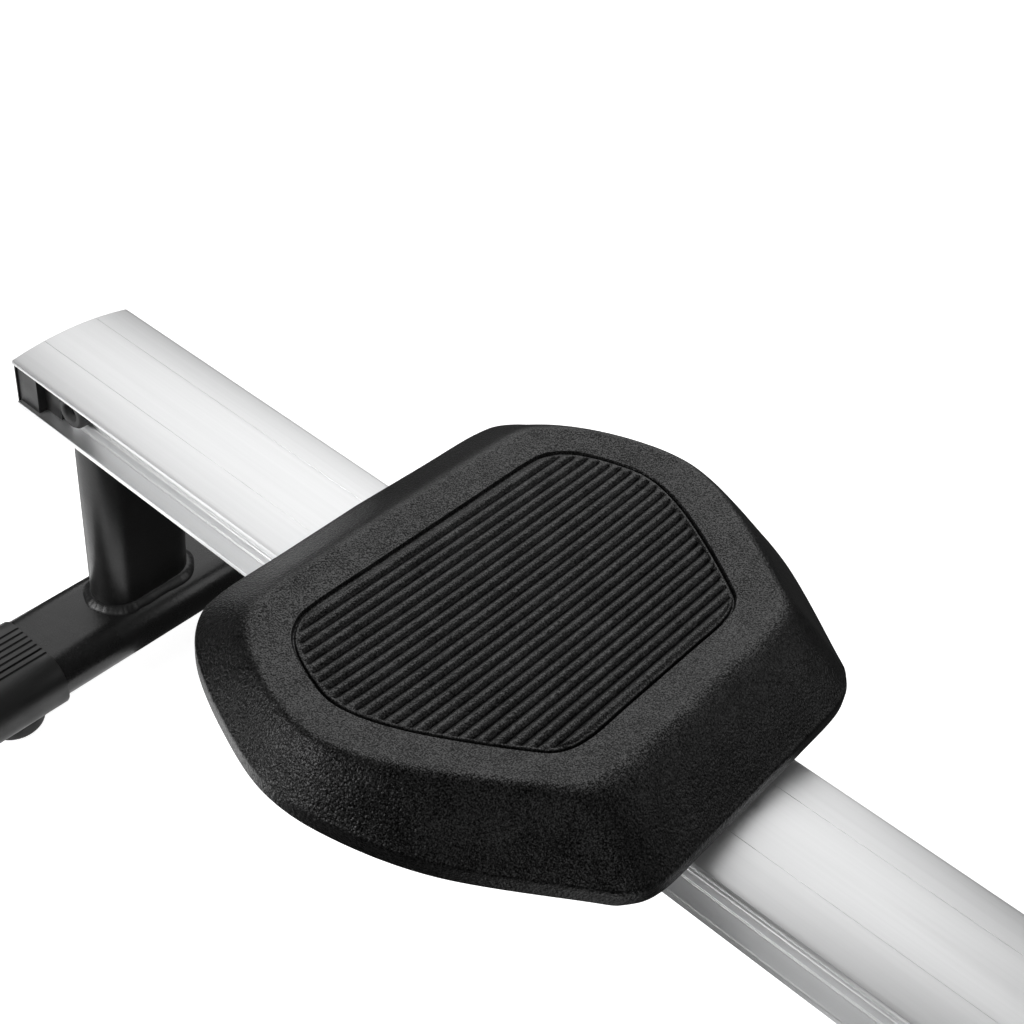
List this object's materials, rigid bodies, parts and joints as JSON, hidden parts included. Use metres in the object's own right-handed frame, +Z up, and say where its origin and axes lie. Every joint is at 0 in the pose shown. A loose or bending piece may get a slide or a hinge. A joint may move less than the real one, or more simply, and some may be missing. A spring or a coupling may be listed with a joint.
{
  "type": "rowing machine",
  "caption": "Folding rowing machine: an aluminium rail on a rear leg, a sliding ribbed seat, pivoting footplates, a strap handle and a cased magnetic flywheel.",
  "frame": {"origin": "on the floor, at the middle of the machine's length and width", "axes": "+Z up, +X from the rail's rear end towards the flywheel, +Y across to the rower's left hand side"},
  "size_m": [1.876, 0.4538, 1.0247],
  "materials": {
    "rail_aluminium": "fine brushed, satin anodised",
    "powder_coat": "black satin powder coat",
    "black_plastic": "black moulded plastic, satin",
    "casing": "black moulded plastic, fine texture",
    "seat_foam": "black moulded foam skin with fine grain",
    "grip_foam": "black closed-cell foam",
    "rubber": "matt black rubber",
    "steel": "zinc plated steel",
    "cast_iron": "machined iron",
    "white_plastic": "white nylon",
    "webbing": "black woven nylon webbing",
    "screen": "dark display window"
  },
  "bodies": {
    "main_frame": {"main_beam": "powder_coat", "hinge_bracket": "powder_coat", "hinge_bolt": "steel", "mid_crossbar": "powder_coat", "front_crossbar": "powder_coat", "pedal_support": "powder_coat", "pedal_axle": "steel", "bearing_frame": "steel", "flywheel_axle": "steel", "drive_axle": "steel", "drive_belt": "rubber", "mast": "powder_coat", "brake_cable": "rubber", "handle_rest": "powder_coat", "mid_cap_left": "black_plastic", "mid_cap_right": "black_plastic", "front_cap_left": "black_plastic", "front_cap_right": "black_plastic", "casing_left": "casing", "casing_right": "casing"},
    "rail_assembly": {"rail": "rail_aluminium", "rail_end_cap": "black_plastic", "rear_post": "powder_coat", "rear_crossbar": "powder_coat", "rail_hinge_block": "steel", "rear_bumper_left": "rubber", "rear_bumper_right": "rubber", "front_bumper_left": "rubber", "front_bumper_right": "rubber", "rear_cap_left": "black_plastic", "rear_cap_right": "black_plastic", "rear_foot_left": "rubber", "rear_foot_right": "rubber"},
    "seat": {"seat_pad": "seat_foam", "seat_carriage": "steel"},
    "handle": {"handle_bar": "powder_coat", "grip_left": "grip_foam", "grip_right": "grip_foam", "pull_strap": "webbing"},
    "flywheel": {"flywheel": "cast_iron"},
    "drive_pulley": {"drive_pulley": "black_plastic"},
    "strap_reel": {"strap_reel": "black_plastic"},
    "strap_guide": {"strap_guide_roller": "white_plastic"},
    "magnet_bracket": {"magnet_bracket": "steel"},
    "tension_knob": {"tension_knob": "black_plastic"},
    "rail_lock": {"rail_lock_knob": "black_plastic"},
    "console": {"console_case": "black_plastic", "console_screen": "screen"},
    "button_left": {"console_button_left": "rubber"},
    "footplate_left": {"footplate_left": "black_plastic", "foot_strap_left": "webbing"},
    "wheel_left": {"wheel_left": "rubber"},
    "roller_front_left": {"seat_roller_front_left": "white_plastic"},
    "roller_rear_left": {"seat_roller_rear_left": "white_plastic"},
    "button_right": {"console_button_right": "rubber"},
    "footplate_right": {"footplate_right": "black_plastic", "foot_strap_right": "webbing"},
    "wheel_right": {"wheel_right": "rubber"},
    "roller_front_right": {"seat_roller_front_right": "white_plastic"},
    "roller_rear_right": {"seat_roller_rear_right": "white_plastic"}
  },
  "joints": [
    {"name": "rail_fold", "type": "hinge", "parent": "main_frame", "child": "rail_assembly", "pos_m": [0.307, 0, 0.215], "axis": [0, -1, 0], "range_deg": [-90, 0]},
    {"name": "seat_slide", "type": "slide", "parent": "rail_assembly", "child": "seat", "axis": [1, 0, 0], "range_m": [-0.235, 0.62]},
    {"name": "handle_pull", "type": "slide", "parent": "main_frame", "child": "handle", "axis": [-1, 0, 0], "range_m": [0, 1.1], "stiffness_N_per_m": 20, "springref_m": -0.8},
    {"name": "flywheel_spin", "type": "hinge", "parent": "main_frame", "child": "flywheel", "pos_m": [0.762, 0, 0.27], "axis": [0, 1, 0], "continuous": true},
    {"name": "drive_spin", "type": "hinge", "parent": "main_frame", "child": "drive_pulley", "pos_m": [0.632, 0, 0.44], "axis": [0, 1, 0], "continuous": true},
    {"name": "reel_spin", "type": "hinge", "parent": "main_frame", "child": "strap_reel", "pos_m": [0.632, 0, 0.44], "axis": [0, -1, 0], "range_deg": [-1, 1406]},
    {"name": "guide_spin", "type": "hinge", "parent": "main_frame", "child": "strap_guide", "pos_m": [0.492, 0, 0.4745], "axis": [0, 1, 0], "continuous": true},
    {"name": "brake_swing", "type": "hinge", "parent": "main_frame", "child": "magnet_bracket", "pos_m": [0.877, 0, 0.35], "axis": [0, 1, 0], "range_deg": [0, 6]},
    {"name": "tension_turn", "type": "hinge", "parent": "main_frame", "child": "tension_knob", "pos_m": [0.727, 0, 0.64], "axis": [-1, 0, 0], "range_deg": [0, 270]},
    {"name": "lock_pull", "type": "slide", "parent": "main_frame", "child": "rail_lock", "axis": [0, -1, 0], "range_m": [0, 0.008], "stiffness_N_per_m": 400, "springref_m": -0.005},
    {"name": "console_tilt", "type": "hinge", "parent": "main_frame", "child": "console", "pos_m": [0.742, 0, 0.878], "axis": [0, 1, 0], "range_deg": [-15, 20]},
    {"name": "footplate_left_tilt", "type": "hinge", "parent": "main_frame", "child": "footplate_left", "pos_m": [0.492, 0.133, 0.21], "axis": [0, 1, 0], "range_deg": [-15, 20]},
    {"name": "wheel_left_spin", "type": "hinge", "parent": "main_frame", "child": "wheel_left", "pos_m": [0.908, 0.17, 0.04], "axis": [0, 1, 0], "continuous": true},
    {"name": "button_left_press", "type": "slide", "parent": "console", "child": "button_left", "axis": [0.9397, 0, -0.342], "range_m": [0, 0.0012], "stiffness_N_per_m": 300, "springref_m": -0.001},
    {"name": "roller_front_left_spin", "type": "hinge", "parent": "seat", "child": "roller_front_left", "pos_m": [-0.458, 0.038, 0.2267], "axis": [0, 1, 0], "continuous": true},
    {"name": "roller_rear_left_spin", "type": "hinge", "parent": "seat", "child": "roller_rear_left", "pos_m": [-0.614, 0.038, 0.2267], "axis": [0, 1, 0], "continuous": true},
    {"name": "footplate_right_tilt", "type": "hinge", "parent": "main_frame", "child": "footplate_right", "pos_m": [0.492, -0.133, 0.21], "axis": [0, 1, 0], "range_deg": [-15, 20]},
    {"name": "wheel_right_spin", "type": "hinge", "parent": "main_frame", "child": "wheel_right", "pos_m": [0.908, -0.17, 0.04], "axis": [0, 1, 0], "continuous": true},
    {"name": "button_right_press", "type": "slide", "parent": "console", "child": "button_right", "axis": [0.9397, 0, -0.342], "range_m": [0, 0.0012], "stiffness_N_per_m": 300, "springref_m": -0.001},
    {"name": "roller_front_right_spin", "type": "hinge", "parent": "seat", "child": "roller_front_right", "pos_m": [-0.458, -0.038, 0.2267], "axis": [0, 1, 0], "continuous": true},
    {"name": "roller_rear_right_spin", "type": "hinge", "parent": "seat", "child": "roller_rear_right", "pos_m": [-0.614, -0.038, 0.2267], "axis": [0, 1, 0], "continuous": true}
  ],
  "couplings": [
    {"joint": "drive_spin", "follows": "flywheel_spin", "ratio": 0.22973},
    {"joint": "reel_spin", "follows": "handle_pull", "rad_per_m": 22.222},
    {"joint": "guide_spin", "follows": "handle_pull", "rad_per_m": -100},
    {"joint": "brake_swing", "follows": "tension_turn", "ratio": 0.022222},
    {"joint": "roller_front_left_spin", "follows": "seat_slide", "rad_per_m": 71.429},
    {"joint": "roller_rear_left_spin", "follows": "seat_slide", "rad_per_m": 71.429},
    {"joint": "roller_front_right_spin", "follows": "seat_slide", "rad_per_m": 71.429},
    {"joint": "roller_rear_right_spin", "follows": "seat_slide", "rad_per_m": 71.429}
  ]
}
